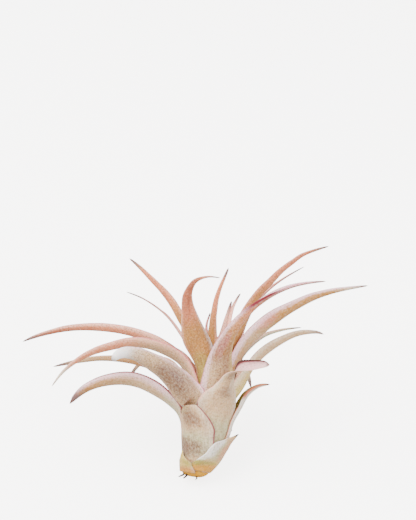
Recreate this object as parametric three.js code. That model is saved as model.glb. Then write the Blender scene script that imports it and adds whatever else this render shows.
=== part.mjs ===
// An air plant: a rosette of channelled, arching leaves whose sheaths are nested round a short conical
// stem. It lies as picked, leaning back on its foot and on the tips of two low leaves. Millimetres, +Z
// up, X across the width of the plant, with its crown towards +Y.
//
// Each leaf is drawn in the growth frame: the stem's axis is +Z and the underside of the foot is the
// origin. A turn is the direction that a leaf grows in, in degrees: 0 is the front (-Y), 90 the right,
// 180 the back.

import * as THREE from "three";
import { LoftGeometry } from "three/addons/geometries/LoftGeometry.js";

const { lerp, smoothstep, degToRad } = THREE.MathUtils;

// The bulb that the nested sheaths make: its radius grows from the foot and levels off below the crown.
const footRadius = 7.2;
const bulbSwell = 9.3;
const bulbRise = 18;

// Each sheath lies a step inside the one before it and starts a step higher up the stem.
const layerPitch = 0.36;
const firstAttachment = 3;
const attachmentStep = 0.75;
const lastLayer = 30;
const stemClearance = 0.55;

// Leaf thickness along the midrib, in the sheath, in the lower blade and at the tip, and at both margins.
const sheathThickness = 0.45;
const bladeThickness = 0.9;
const tipThickness = 0.3;
const marginThickness = 0.28;

// Half the width that is left at the very tip.
const tipHalfWidth = 0.2;

// The shares of a blade by which it is fleshy, stands square to its midrib and has its full channel.
const fleshyBy = 0.2;
const squareBy = 0.25;
const curledBy = 0.6;

// Heights above the point where a blade leaves the bulb, over which the bulb lets go of it.
const holdStarts = 8;
const holdEnds = 25;

// The rest pose: how far the plant leans back and aside, and where its foot then lies.
const leanBack = 41.7;
const leanAside = 9;
const footPlace = [2.44, -56.64, 2.53];

// The oblique foot: the base of the bulb lies this far to the left, less and less up to this height.
const footShift = 3;
const footShiftEnds = 16;

// Facets round the stem.
const stepsRound = 32;

// turn: the direction that the leaf grows in. layer: how many sheaths lie outside it. leaves: the
// height where its blade leaves the bulb. route: the blade's midrib as [reach from the axis, height,
// swing from its turn]. wrap: how far round the stem its base reaches on each side, in degrees. neck,
// blade: half its width where it leaves the bulb, and of the blade. shoulder: the share of the blade
// over which the neck narrows. taper: how the width falls to the tip. curl: the angle on each side that
// the channelled blade closes through. roll: how far the blade turns about its midrib, and rolls: the
// shares of the blade where that starts and ends. left, right: the share of each side that a lopsided
// leaf has in its sheath; openLeft, openRight: in its blade; opens: the shares of the blade between
// which it passes from the one to the other. kept: the share of its length that is left, for a torn
// leaf. across, steps: facets across and along it.
const usual = {
  wrap: 50, neck: 8, blade: 6, shoulder: 0.3, taper: 0.7, curl: 88, roll: 0, rolls: [0.05, 0.6],
  left: 1, right: 1, opens: [0, 0.3], kept: 1, across: 6, steps: 12,
};

const leaves = [
  { name: "old_sheath_flap", turn: -58, layer: -1.7, leaves: 6, wrap: 62, neck: 6.5, blade: 4.5,
    taper: 1.2, curl: 45, across: 8, steps: 6, color: 0xd9d79a,
    route: [[10.9, 9.2, 0], [11.6, 12, 2]] },
  { name: "leaf_foot_right", turn: 78, layer: 0, leaves: 14, wrap: 112, neck: 13, blade: 8,
    shoulder: 0.9, taper: 0.9, curl: 60, across: 14, color: 0xcfc6b6,
    route: [[13.6, 19, 0], [16.8, 24, 0]] },
  { name: "leaf_torn_front", turn: -48, layer: 1.9, leaves: 23, wrap: 80, neck: 14, blade: 6,
    shoulder: 0.45, curl: 60, left: 0.42, right: 1.12, openRight: 1, kept: 0.52, across: 10,
    color: 0xc3b9aa,
    route: [[15.1, 28.5, 0], [17.8, 34, 0], [20.8, 39, 0], [25, 44.5, 0], [31, 49, 0], [38, 51, 0]] },
  { name: "leaf_foot_back", turn: 156, layer: 2, leaves: 15, wrap: 38, neck: 7, blade: 5, left: 0.5,
    color: 0xc9c0ae,
    route: [[15.3, 21.5, 0], [20, 26, 0], [26, 28, 0], [30.5, 27.8, 0], [33.2, 26.15, 0]] },
  { name: "leaf_right_short", turn: 100, layer: 3.4, leaves: 29, wrap: 46, neck: 9, blade: 7,
    taper: 0.6, right: 0.9, roll: 12, color: 0xb9b59a,
    route: [[15.9, 37, 0], [18.7, 43.8, 0], [23.1, 48.4, 0], [29, 51.1, 0]] },
  { name: "leaf_left_low", turn: -95, layer: 4.2, leaves: 23, wrap: 58, neck: 11, blade: 11,
    taper: 0.55, right: 0.85, openRight: 1, roll: 25, across: 8, color: 0xcbb9b0,
    route: [[15, 29.3, 0], [20.7, 33.7, 0], [32, 38.7, 0], [39.3, 40.4, 0], [46.3, 40.2, 0],
      [55.8, 37.6, 0], [62.9, 33.5, 0], [69.8, 26.3, 0]] },
  { name: "leaf_front_right", turn: 30, layer: 5.6, leaves: 36, wrap: 66, neck: 13.5, blade: 7.5,
    shoulder: 0.35, taper: 0.4, openLeft: 0.5, right: 0.85, openRight: 1, opens: [0.15, 0.5], roll: 95,
    rolls: [0.35, 0.8], across: 8, steps: 18, color: 0xcdbdb4,
    route: [[14.8, 41.5, -1], [16.2, 46.5, -3], [18.9, 50.6, -4], [23.6, 53.8, 2], [28.2, 56.2, 12],
      [33.4, 58.3, 21]] },
  { name: "leaf_prop_left", turn: -143, layer: 6.8, leaves: 28, neck: 9, left: 0.85, color: 0xc2b49c,
    route: [[18, 38, 0], [30, 50, 0], [44, 57.5, 0], [57, 58.5, 0], [68, 54.6, 0], [77.7, 45.25, 0]] },
  { name: "leaf_left_front", turn: -30, layer: 8.2, leaves: 34, wrap: 58, neck: 12, blade: 10,
    shoulder: 0.4, taper: 0.5, left: 0.75, right: 0.45, openLeft: 0.95, openRight: 0.9, roll: 70,
    rolls: [0, 0.14], across: 10, steps: 18, color: 0xbfaea4,
    route: [[13.3, 38.2, -2], [18.2, 41.2, -5], [24, 44.2, -8], [30.5, 47.2, -11], [38, 50, -14],
      [45, 52, -16], [51.8, 52.8, -17], [59.1, 51.5, -18], [64.9, 46.8, -18]] },
  { name: "leaf_prop_right", turn: 160, layer: 8.7, leaves: 31, neck: 9, color: 0xc2b49c,
    route: [[18, 41, 0], [29, 52, 0], [41, 57.5, 0], [52, 57.2, 0], [61.3, 51.9, 0]] },
  { name: "leaf_right_low", turn: 95, layer: 10.6, leaves: 38, neck: 9, blade: 9, left: 0.75,
    openLeft: 0.95, roll: -25, color: 0xc8bab4,
    route: [[15.3, 47, 0], [19, 57.6, 0], [23, 63.9, 0], [30, 71.1, 0], [38.8, 77.4, 0],
      [48.1, 80.2, 0], [52.3, 80.2, 0]] },
  { name: "leaf_left_mid_back", turn: -108, layer: 10.6, leaves: 35, neck: 9, blade: 7.5, right: 0.6,
    roll: 45, color: 0xc8ab86,
    route: [[19, 45.5, 0], [32, 50.2, 0], [41, 52, 0], [50.3, 52.7, 0], [63, 51.9, 0], [74.4, 49.3, 0],
      [88.1, 45, 0]] },
  { name: "leaf_front_tall", turn: 15, layer: 12.2, leaves: 44, neck: 10.5, blade: 7.5, left: 0.9,
    roll: 75, rolls: [0.2, 0.75], steps: 14, color: 0xcf9f86,
    route: [[14.2, 54, -6], [18, 61.5, -6], [21.6, 68.5, -1], [24.8, 76, 7], [29.1, 83.8, 16],
      [34.1, 90.5, 25], [39.6, 95.9, 34], [44.4, 99.1, 41], [53, 102.4, 48]] },
  { name: "leaf_back_low", turn: -170, layer: 12.7, leaves: 42, neck: 8, color: 0xc2b49c,
    route: [[17, 53, 0], [27, 62, 0], [38, 66.5, 0], [50, 66.5, 0], [60, 62, 0]] },
  { name: "leaf_left_mid", turn: -72, layer: 14.2, leaves: 42, neck: 9, blade: 10.5, taper: 0.85,
    right: 0.8, openRight: 0.9, roll: 25, color: 0xcab1a6,
    route: [[17.5, 53, 0], [30, 57.8, 0], [40, 58.5, 0], [47.2, 57.2, 0], [54.4, 54.5, 0],
      [61.6, 51.2, 0], [68.5, 46.5, 0], [75, 39.9, 0], [79.9, 31.9, 0]] },
  { name: "leaf_right_back_thin", turn: 122, layer: 14.7, leaves: 50, neck: 7, blade: 4.5,
    color: 0xb6b49a,
    route: [[14.5, 62, 0], [19.5, 69, 0], [26.9, 75.7, 0], [36.7, 80.6, 0], [49.2, 84.8, 0]] },
  { name: "leaf_left_long", turn: -98, layer: 16, leaves: 47, neck: 8.5, blade: 8, taper: 0.62,
    right: 0.65, openRight: 0.87, roll: 25, steps: 14, color: 0xd2a187,
    route: [[17, 57, 0], [29, 62.2, 0], [42.5, 65, 0], [54, 66, 0], [67.5, 65.3, 0], [79, 63.1, 0],
      [90.5, 59.1, 0], [100.7, 54.3, 0]] },
  { name: "leaf_right_wide", turn: 82, layer: 16.8, leaves: 54, neck: 9, blade: 10, taper: 0.9,
    roll: -25, rolls: [0, 0.4], color: 0xcbb8ae,
    route: [[14.7, 66.7, 0], [22.8, 77.8, 0], [29.4, 84.5, 0], [36.2, 90, 0], [44.8, 96, 0],
      [53.8, 100.3, 0], [70.1, 105.9, 0]] },
  { name: "leaf_centre_front", turn: -36, layer: 17.9, leaves: 50, neck: 8.5, blade: 12.5, taper: 1.35,
    left: 0.6, openLeft: 1, roll: 37, rolls: [0, 0.3], curl: 80, steps: 16, color: 0xc99a78,
    route: [[15.5, 61, -2], [21, 68.5, -2], [27, 75.5, 0], [33, 83, 3], [37, 89, 9], [39.5, 91.6, 15],
      [41.5, 93.2, 23], [43.5, 93.2, 31]] },
  { name: "leaf_right_back_high", turn: 132, layer: 18.7, leaves: 56, neck: 6, blade: 4.2, right: 0.7,
    color: 0xc79c86,
    route: [[13.5, 72, 0], [16.5, 82, 0], [21.5, 92, 0], [30, 101.5, 0], [38.4, 108.6, 0],
      [53, 118.9, 0]] },
  { name: "leaf_left_back_thin", turn: -140, layer: 19.5, leaves: 50, neck: 6, blade: 3.6, left: 0.6,
    color: 0xb9a5a0,
    route: [[14, 58.5, 0], [21.4, 63.5, 0], [31.1, 71, 0], [43.1, 79.5, 0], [51.6, 84, 0],
      [68.6, 90.6, 0], [86.1, 95.1, 0]] },
  { name: "leaf_right_high", turn: 58, layer: 20.7, leaves: 62, neck: 7.5, blade: 6, color: 0xcd9271,
    route: [[11.5, 73, 0], [14, 81, 0], [17.3, 88.3, 0], [21, 94, 0], [25, 99, 1], [30, 105.4, 2],
      [35, 110.2, 3], [40, 114.2, 3], [52.5, 119.8, 4]] },
  { name: "leaf_inner_back", turn: 176, layer: 21.2, leaves: 55, wrap: 44, neck: 6.5, blade: 4.5,
    left: 0.6, right: 0.7, color: 0xc79c86,
    route: [[12, 65, 0], [20, 72, 0], [30, 76, 0], [42, 76, 0]] },
  { name: "leaf_left_high", turn: -88, layer: 22.2, leaves: 54, neck: 7, blade: 6.5, roll: 30,
    color: 0xcd9271,
    route: [[13.9, 65, 0], [21.8, 76, 0], [27.6, 83.6, 0], [32.9, 88.8, 0], [38.7, 93.4, 0],
      [44.4, 97.9, 0], [51.3, 102.9, 0]] },
  { name: "leaf_inner_right_thin", turn: 160, layer: 23.3, leaves: 63, neck: 5, blade: 3, steps: 8,
    color: 0xc9a4a0,
    route: [[8.5, 72, 0], [10.5, 79.5, 0], [13, 87.5, 0], [18, 96.5, -4]] },
  { name: "leaf_centre_upright", turn: -22, layer: 24.4, leaves: 57, neck: 5, blade: 3.8,
    color: 0xcd9675,
    route: [[9.5, 65, 0], [12.8, 73, 1], [15.8, 80, 4], [18.5, 88.2, 8], [22, 102.3, 20]] },
  { name: "leaf_inner_left_thin", turn: -115, layer: 26, leaves: 62, neck: 4.5, blade: 2.6, steps: 8,
    color: 0xc9a4a0,
    route: [[7.8, 70, 0], [8.6, 76, 0], [7.8, 82.5, -5]] },
  { name: "leaf_inner_front_thin", turn: 12, layer: 26.6, leaves: 64, neck: 4.5, blade: 2.8, steps: 8,
    color: 0xc9a4a0,
    route: [[7.5, 73, 0], [8.5, 80, 2], [10.5, 88, 6]] },
  { name: "leaf_core_left", turn: -62, layer: 28, leaves: 60, wrap: 45, neck: 4, blade: 2.4, steps: 7,
    color: 0xc2ab84,
    route: [[6.2, 68, 0], [5.4, 75, 0]] },
  { name: "leaf_core_back", turn: 178, layer: 29, leaves: 58, wrap: 45, neck: 3.6, blade: 2.2, steps: 7,
    color: 0xc2ab84,
    route: [[5.6, 66, 0], [4.6, 72, 0]] },
  { name: "leaf_core_right", turn: 60, layer: 30, leaves: 56, wrap: 45, neck: 3.2, blade: 2, steps: 7,
    color: 0xc2ab84,
    route: [[5, 63, 0], [4, 69, 0]] },
].map((leaf) => ({ ...usual, openLeft: leaf.left ?? 1, openRight: leaf.right ?? 1, ...leaf }));

const direction = (turn) => new THREE.Vector3(Math.sin(degToRad(turn)), -Math.cos(degToRad(turn)), 0);
const sideways = (turn) => new THREE.Vector3(Math.cos(degToRad(turn)), Math.sin(degToRad(turn)), 0);
const onPlant = (reach, height, turn) => direction(turn).multiplyScalar(reach).setZ(height);

const sheathRadius = (layer, height) =>
  footRadius + bulbSwell * (1 - Math.exp((firstAttachment - height) / bulbRise)) - layerPitch * layer;
const attachmentHeight = (layer) => firstAttachment + attachmentStep * layer;
const stemRadius = (height) =>
  sheathRadius((height - firstAttachment) / attachmentStep, height) - stemClearance;

function shifted(place) {
  place.x -= footShift * Math.max(1 - place.z / footShiftEnds, 0) ** 2;
  return place;
}

// The midrib runs up the sheath's own cone and then along the blade's route.
function midrib(leaf) {
  const sheathSteps = 4;
  const points = [];
  for (let i = 0; i <= sheathSteps; i++) {
    const height = lerp(attachmentHeight(leaf.layer), leaf.leaves, i / sheathSteps);
    points.push(onPlant(sheathRadius(leaf.layer, height), height, leaf.turn));
  }
  const length = (route) => route.slice(1).reduce((sum, p, i) => sum + p.distanceTo(route[i]), 0);
  const sheathLength = length(points);
  points.push(...leaf.route.map(([reach, height, swing]) => onPlant(reach, height, leaf.turn + swing)));
  return { curve: new THREE.CatmullRomCurve3(points), sheathShare: sheathLength / length(points) };
}

// The lower blade is bent by the sheaths inside it: no point of it comes nearer to the stem than its
// own sheath.
function keptOutside(place, leaf, offset) {
  const reach = Math.hypot(place.x, place.y);
  const hold = 1 - smoothstep(place.z, leaf.leaves + holdStarts, leaf.leaves + holdEnds);
  const least = (sheathRadius(leaf.layer, place.z) + offset) * hold;
  if (reach >= least) return place;
  return new THREE.Vector3((place.x * least) / reach, (place.y * least) / reach, place.z);
}

// One closed cross-section for each step along the leaf. A section is an arc: round the stem's axis in
// the sheath, and a channel across the midrib in the blade.
function sections(leaf) {
  const { curve, sheathShare } = midrib(leaf);
  const neckRadius = sheathRadius(leaf.layer, leaf.leaves);
  const side = sideways(leaf.turn);
  const rings = [];
  for (let i = 0; i <= leaf.steps; i++) {
    const along = (leaf.kept * i) / leaf.steps;
    const point = curve.getPointAt(along);
    const tangent = curve.getTangentAt(along);
    const inSheath = Math.min(along / sheathShare, 1);
    const t = Math.max((along - sheathShare) / (1 - sheathShare), 0);

    // Half the angle that the section spans, and its radius.
    const neckAngle = leaf.neck / neckRadius;
    let angle = lerp(degToRad(leaf.wrap), neckAngle, smoothstep(inSheath, 0, 1));
    let radius = Math.hypot(point.x, point.y);
    if (t > 0) {
      const width = leaf.blade * (1 - t) ** leaf.taper
        + (leaf.neck - leaf.blade) * (1 - smoothstep(t, 0, leaf.shoulder));
      angle = lerp(neckAngle, degToRad(leaf.curl), smoothstep(t, 0, curledBy));
      radius = Math.max(width, tipHalfWidth) / angle;
    }

    // In the sheath the section faces the stem's axis; in the blade it stands square to the midrib.
    if (t > 0) side.addScaledVector(tangent, -side.dot(tangent)).normalize();
    const inward = new THREE.Vector3(-point.x, -point.y, 0).normalize();
    const square = new THREE.Vector3().crossVectors(tangent, side);
    const up = inward.lerp(square, smoothstep(t, 0, squareBy)).normalize();
    const roll = degToRad(leaf.roll) * smoothstep(t, ...leaf.rolls);
    const across = side.clone().applyAxisAngle(tangent, roll);
    up.applyAxisAngle(tangent, roll);

    const fleshy = lerp(sheathThickness, bladeThickness, smoothstep(t, 0, fleshyBy));
    const thick = t > 0 ? Math.min(lerp(fleshy, tipThickness, t), radius) : sheathThickness;
    const opened = smoothstep(t, ...leaf.opens);
    const left = lerp(leaf.left, leaf.openLeft, opened);
    const right = lerp(leaf.right, leaf.openRight, opened);
    const centre = point.clone().addScaledVector(up, radius);
    const arc = (v, face) => {
      const half = lerp(thick, Math.min(marginThickness, thick), v * v) / 2;
      const turned = angle * v * (v < 0 ? left : right);
      const place = centre.clone()
        .addScaledVector(across, Math.sin(turned) * (radius + face * half))
        .addScaledVector(up, -Math.cos(turned) * (radius + face * half));
      return shifted(t > 0 ? keptOutside(place, leaf, face * half) : place);
    };
    const ring = (face) => {
      const points = [];
      for (let j = 0; j <= leaf.across; j++) points.push(arc(lerp(-1, 1, j / leaf.across), face));
      for (let j = 0; j <= leaf.across; j++) points.push(arc(lerp(1, -1, j / leaf.across), -face));
      return points;
    };
    // A section without thickness closes each end.
    if (i === 0) rings.push(ring(0));
    rings.push(ring(1));
    if (i === leaf.steps) rings.push(ring(0));
  }
  return rings;
}

function surface(color) {
  return new THREE.MeshStandardMaterial({ color, roughness: 0.75, metalness: 0 });
}

function leafMesh(leaf) {
  const mesh = new THREE.Mesh(new LoftGeometry(sections(leaf)), surface(leaf.color));
  mesh.name = leaf.name;
  return mesh;
}

// The stem is a squat cone that fills the space inside the leaves' attachments, with a rounded foot.
function stemMesh() {
  const top = attachmentHeight(lastLayer);
  const profile = [[0, 0], [3.2, 0.2], [5.1, 0.9], [6.2, 1.9]].map(([r, z]) => new THREE.Vector2(r, z));
  const levels = 8;
  for (let i = 0; i <= levels; i++) {
    const height = lerp(firstAttachment, top, i / levels);
    profile.push(new THREE.Vector2(stemRadius(height), height));
  }
  profile.push(new THREE.Vector2(0, top + 1.5));
  const mesh = new THREE.Mesh(new THREE.LatheGeometry(profile, stepsRound), surface(0xd8a868));
  mesh.geometry.rotateX(Math.PI / 2);
  const corners = mesh.geometry.getAttribute("position");
  for (let i = 0; i < corners.count; i++) {
    corners.setXYZ(i, ...shifted(new THREE.Vector3().fromBufferAttribute(corners, i)));
  }
  mesh.name = "stem";
  return mesh;
}

// Short dark stubs of dried root under the foot.
const roots = [
  { name: "root_stub_left", turn: -62, start: [5.4, 0.6], end: [7.4, -0.9], radius: 0.35 },
  { name: "root_stub_front", turn: -38, start: [5.2, 0.5], end: [6.2, -1.4], radius: 0.3 },
  { name: "root_stub_right", turn: 24, start: [4.6, 0.2], end: [5.2, -1.2], radius: 0.3 },
];

function rootMesh(root) {
  const place = ([reach, height]) => shifted(onPlant(reach, height, root.turn));
  const from = place(root.start);
  const to = place(root.end);
  const stub = new THREE.CylinderGeometry(root.radius * 0.5, root.radius, from.distanceTo(to), 8);
  const mesh = new THREE.Mesh(stub, surface(0x4a372b));
  mesh.position.copy(from).lerp(to, 0.5);
  mesh.quaternion.setFromUnitVectors(new THREE.Vector3(0, 1, 0), to.clone().sub(from).normalize());
  mesh.name = root.name;
  return mesh;
}

const growth = new THREE.Group();
growth.add(stemMesh(), ...roots.map(rootMesh), ...leaves.map(leafMesh));
growth.rotation.set(-degToRad(leanBack), degToRad(leanAside), 0);
growth.position.set(...footPlace);

const plant = new THREE.Group();
plant.add(growth);
export default plant;
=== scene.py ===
"""An air plant that lies on a pale floor: channelled, silvery leaves nested round a short stem."""

import math
from bisect import bisect_right

import bmesh
import bpy
from bpy.props import FloatProperty, FloatVectorProperty, PointerProperty
from mathutils import Matrix, Vector, noise


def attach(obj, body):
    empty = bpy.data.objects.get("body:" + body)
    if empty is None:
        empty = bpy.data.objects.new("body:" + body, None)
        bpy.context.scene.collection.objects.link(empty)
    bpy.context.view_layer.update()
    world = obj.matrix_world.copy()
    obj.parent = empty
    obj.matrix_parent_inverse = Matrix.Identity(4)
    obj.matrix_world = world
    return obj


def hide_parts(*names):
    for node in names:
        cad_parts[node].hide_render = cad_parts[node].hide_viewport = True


bl_info = {
    "name": "Air Plant",
    "version": (1, 0, 0),
    "blender": (4, 5, 0),
    "location": "3D View > Sidebar > Air Plant",
    "description": "Builds an air plant with channelled, silvery leaves on a pale floor",
    "category": "Add Mesh",
}

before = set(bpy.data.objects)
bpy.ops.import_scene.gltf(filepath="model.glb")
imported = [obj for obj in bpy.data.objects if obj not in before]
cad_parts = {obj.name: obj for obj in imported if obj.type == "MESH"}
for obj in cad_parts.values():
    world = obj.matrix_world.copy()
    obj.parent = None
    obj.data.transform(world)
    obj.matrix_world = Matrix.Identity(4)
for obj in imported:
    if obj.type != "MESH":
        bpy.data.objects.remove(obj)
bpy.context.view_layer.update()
BODY = "root"
MM = 0.001


# Sizes and colours that a user would change

def linear(shown):
    """One channel of a colour, 0 to 255 as it shows on a screen, made linear by the screens' curve."""
    value = shown / 255
    return value / 12.92 if value <= 0.04045 else ((value + 0.055) / 1.055) ** 2.4


def number(name, description, default, **settings):
    return FloatProperty(name=name, description=description, default=default, **settings)


def length(name, description, millimetres):
    return number(name, description, millimetres * MM, unit="LENGTH", precision=5)


def angle(name, description, degrees):
    return number(name, description, math.radians(degrees), subtype="ANGLE")


def colour(name, description, *shown):
    default = tuple(linear(channel) for channel in shown)
    return FloatVectorProperty(
        name=name, description=description, default=default, subtype="COLOR", min=0, max=1
    )


class PlantSizes(bpy.types.PropertyGroup):
    """The plant's driving sizes, as it grows: upright, with the underside of its foot at the origin."""

    foot_radius: length("Foot radius", "Radius of the bulb at its foot", 7.2)
    bulb_swell: length("Bulb swell", "How much wider the bulb is at its crown", 9.3)
    bulb_rise: length("Bulb rise", "Height over which the bulb widens", 18)
    layer_pitch: length("Layer pitch", "Step from one sheath to the next one inside it", 0.36)
    first_attachment: length("First attachment", "Height of the outermost sheath's base", 3)
    attachment_step: length("Attachment step", "How much higher each sheath starts", 0.75)
    stem_clearance: length("Stem clearance", "Gap between the stem and a sheath's middle", 0.55)
    foot_shift: length("Foot shift", "How far the oblique foot lies to the left", 3)
    foot_shift_height: length("Foot shift height", "Height at which the foot's shift ends", 16)
    sheath_thickness: length("Sheath thickness", "Leaf thickness in the sheath", 0.45)
    blade_thickness: length("Blade thickness", "Leaf thickness in the lower blade", 0.9)
    tip_thickness: length("Tip thickness", "Leaf thickness at the tip", 0.3)
    margin_thickness: length("Margin thickness", "Leaf thickness at its margins", 0.28)
    tip_half_width: length("Tip half width", "Half the width that a leaf keeps until its very tip", 0.35)
    point_share: number(
        "Point share", "Share of a blade that ends it in a straight point", 0.05, min=0.01, max=0.5
    )
    lean_back: angle("Lean back", "How far the plant leans back where it lies", 41.7)
    lean_aside: angle("Lean aside", "How far the plant leans to its right", 9)
    foot_place: FloatVectorProperty(
        name="Foot place", description="Where the foot lies", default=(2.44 * MM, -56.64 * MM, 2.53 * MM),
        subtype="XYZ", unit="LENGTH",
    )


class LeafColours(bpy.types.PropertyGroup):
    """The colours that the leaves, the stem and the roots are painted with."""

    # Lavender, silver, blush, chalk, beige, gold, straw and rust also colour the one-sided bands, which
    # paint light and shade as well as the leaf's own colour.
    silver: colour("Silver", "Scaled outer leaves", 220, 200, 176)
    silver_green: colour("Silver green", "Old outer sheaths", 182, 172, 128)
    beige: colour("Beige", "Keels of the outer leaves", 194, 156, 112)
    # Brown also paints shade in two patches.
    brown: colour("Brown", "Blotches and specks", 98, 60, 38)
    lavender: colour("Lavender", "Bloom near the margins", 246, 202, 212)
    blush: colour("Blush", "Soft pink rims", 246, 184, 160)
    salmon: colour("Salmon", "Middle of the inner leaves", 212, 124, 82)
    rust: colour("Rust", "Deepest orange of the inner leaves", 176, 90, 54)
    gold: colour("Gold", "Base of the inner leaves", 180, 122, 52)
    straw: colour("Straw", "Pale yellow-green of the sheath bases", 204, 174, 86)
    olive: colour("Olive", "Inside of the short right leaf", 142, 132, 44)
    crimson: colour("Crimson", "Thin dark margins", 116, 22, 34)
    rose: colour("Rose", "Thin pink margins", 206, 84, 114)
    mauve: colour("Mauve", "Dry grey tips", 116, 88, 84)
    chalk: colour("Chalk", "White tips and folds", 246, 240, 238)
    amber: colour("Amber", "Underside of the foot", 206, 142, 22)
    bark: colour("Bark", "Torn edges and dry roots", 46, 28, 22)


class StageSettings(bpy.types.PropertyGroup):
    """Camera, lights and floor."""

    camera_distance: length("Camera distance", "From the camera to the foot", 620)
    focal_length: number("Focal length", "Lens in millimetres", 85.85, min=10)
    aim_right: length("Aim right", "The view's middle, to the right of the foot", 5.4)
    aim_up: length("Aim up", "The view's middle, above the foot in the picture", 108.85)
    floor_size: length("Floor size", "Half the floor's side", 9000)
    floor_colour: colour("Floor colour", "Pale floor", 246, 245, 244)
    floor_glow: number("Floor glow", "How brightly the floor shines by itself", 4.4)
    key_power: number("Key power", "Large soft light from the upper left", 32)
    fill_power: number("Fill power", "Soft light from the right", 11)
    sky_strength: number("Sky strength", "Soft light from overhead", 2.15)
    ground_strength: number("Ground strength", "Soft light from below", 1.2)


# The leaves. turn: the direction that a leaf grows in, in degrees: 0 is the front, 90 the right. layer:
# how many sheaths lie outside it. leaves: the height in mm where its blade leaves the bulb. route: the
# blade's midrib as (reach from the axis in mm, height in mm, and any swing from its turn in degrees).
# wrap: how far round the stem its base reaches on each side, in degrees. neck, blade: half its width in
# mm where it leaves the bulb, and of the blade. shoulder: the share of the blade over which the neck
# narrows. taper: how the width falls to the tip. curl: the angle on each side that the channel closes
# through. roll: how far the blade turns about its midrib, and rolls: the shares of the blade where that
# starts and ends. left, right: the share of each side that a lopsided leaf has in its sheath, and
# open_left, open_right: in its blade, to which it passes between the shares opens. torn_edge: the share
# of the leaf's length that is kept at each place across it. keel: the height of its keel in mm. columns,
# rows: the facets across each face and along the leaf. look: how it is painted.

USUAL = dict(
    wrap=50, neck=8, blade=6, shoulder=0.3, taper=0.7, curl=88, roll=0, rolls=(0.05, 0.6), left=1, right=1,
    opens=(0, 0.3), columns=12, rows=72, keel=0.25, torn_edge=((-1, 1), (1, 1)),
)

OLD_SHEATHS = {
    "old_sheath_flap": dict(
        turn=-58, layer=-1.7, leaves=6, wrap=62, neck=6.5, blade=4.5, taper=1.2, curl=45, columns=20,
        rows=24, keel=0, look="pale_flap", route=((10.9, 9.2), (11.6, 12, 2)),
    ),
    "leaf_foot_right": dict(
        turn=78, layer=0, leaves=14, wrap=112, neck=13, blade=8, shoulder=0.9, taper=0.9, curl=60,
        columns=32, rows=48, keel=0, look="foot", route=((13.6, 19), (16.8, 24)),
    ),
    "leaf_torn_front": dict(
        turn=-48, layer=1.9, leaves=23, wrap=80, neck=14, shoulder=0.45, curl=60, left=0.42, right=1.12,
        open_right=1, columns=56, rows=64, keel=0, look="torn",
        route=((15.1, 28.5), (17.8, 34), (20.8, 39), (25, 44.5), (31, 49), (38, 51)),
        torn_edge=((-1, 0.47), (-0.8, 0.485), (-0.62, 0.455), (-0.48, 0.44), (-0.3, 0.475), (-0.1, 0.5),
                   (0.1, 0.515), (0.35, 0.523), (0.6, 0.52), (0.85, 0.515), (1, 0.5)),
    ),
    "leaf_foot_back": dict(
        turn=156, layer=2, leaves=15, wrap=38, neck=7, blade=5, left=0.5, look="silver",
        route=((15.3, 21.5), (20, 26), (26, 28), (30.5, 27.8), (33.2, 26.15)),
    ),
}

LOWER_LEAVES = {
    "leaf_right_short": dict(
        turn=100, layer=3.4, leaves=29, wrap=46, neck=9, blade=7, taper=0.6, right=0.9, roll=12,
        look="olive", route=((15.9, 37), (18.7, 43.8), (23.1, 48.4), (29, 51.1)),
    ),
    "leaf_left_low": dict(
        turn=-95, layer=4.2, leaves=23, wrap=58, neck=11, blade=11, taper=0.55, right=0.85, open_right=1,
        roll=25, columns=16, rows=80, look="lavender_red",
        route=((15, 29.3), (20.7, 33.7), (32, 38.7), (39.3, 40.4), (46.3, 40.2), (55.8, 37.6),
               (62.9, 33.5), (69.8, 26.3)),
    ),
    "leaf_front_right": dict(
        turn=30, layer=5.6, leaves=36, wrap=66, neck=13.5, blade=7.5, shoulder=0.35, taper=0.4,
        right=0.85, open_left=0.5, open_right=1, opens=(0.15, 0.5), roll=95, rolls=(0.35, 0.8),
        columns=22, rows=96, look="silver_red",
        route=((14.8, 41.5, -1), (16.2, 46.5, -3), (18.9, 50.6, -4), (23.6, 53.8, 2), (28.2, 56.2, 12),
               (33.4, 58.3, 21)),
    ),
    "leaf_prop_left": dict(
        turn=-143, layer=6.8, leaves=28, neck=9, left=0.85, look="tan",
        route=((18, 38), (30, 50), (44, 57.5), (57, 58.5), (68, 54.6), (77.7, 45.25)),
    ),
    "leaf_left_front": dict(
        turn=-30, layer=8.2, leaves=34, wrap=58, neck=12, blade=10, shoulder=0.4, taper=0.5, left=0.75,
        right=0.45, open_left=0.95, open_right=0.9, roll=70, rolls=(0, 0.14), columns=24, rows=96,
        look="mottled",
        route=((13.3, 38.2, -2), (18.2, 41.2, -5), (24, 44.2, -8), (30.5, 47.2, -11), (38, 50, -14),
               (45, 52, -16), (51.8, 52.8, -17), (59.1, 51.5, -18), (64.9, 46.8, -18)),
    ),
    "leaf_prop_right": dict(
        turn=160, layer=8.7, leaves=31, neck=9, look="tan",
        route=((18, 41), (29, 52), (41, 57.5), (52, 57.2), (61.3, 51.9)),
    ),
    "leaf_right_low": dict(
        turn=95, layer=10.6, leaves=38, neck=9, blade=9, left=1.45, open_left=0.95, opens=(0.1, 0.35),
        roll=-25, columns=20, look="lavender",
        route=((15.3, 47), (19, 57.6), (23, 63.9), (30, 71.1), (38.8, 77.4), (48.1, 80.2), (52.3, 80.2)),
    ),
    "leaf_left_mid_back": dict(
        turn=-108, layer=10.6, leaves=35, neck=9, blade=7.5, right=0.6, roll=45, look="tan",
        route=((19, 45.5), (32, 50.2), (41, 52), (50.3, 52.7), (63, 51.9), (74.4, 49.3), (88.1, 45)),
    ),
    "leaf_back_low": dict(
        turn=-170, layer=12.7, leaves=42, look="tan",
        route=((17, 53), (27, 62), (38, 66.5), (50, 66.5), (60, 62)),
    ),
}

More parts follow.
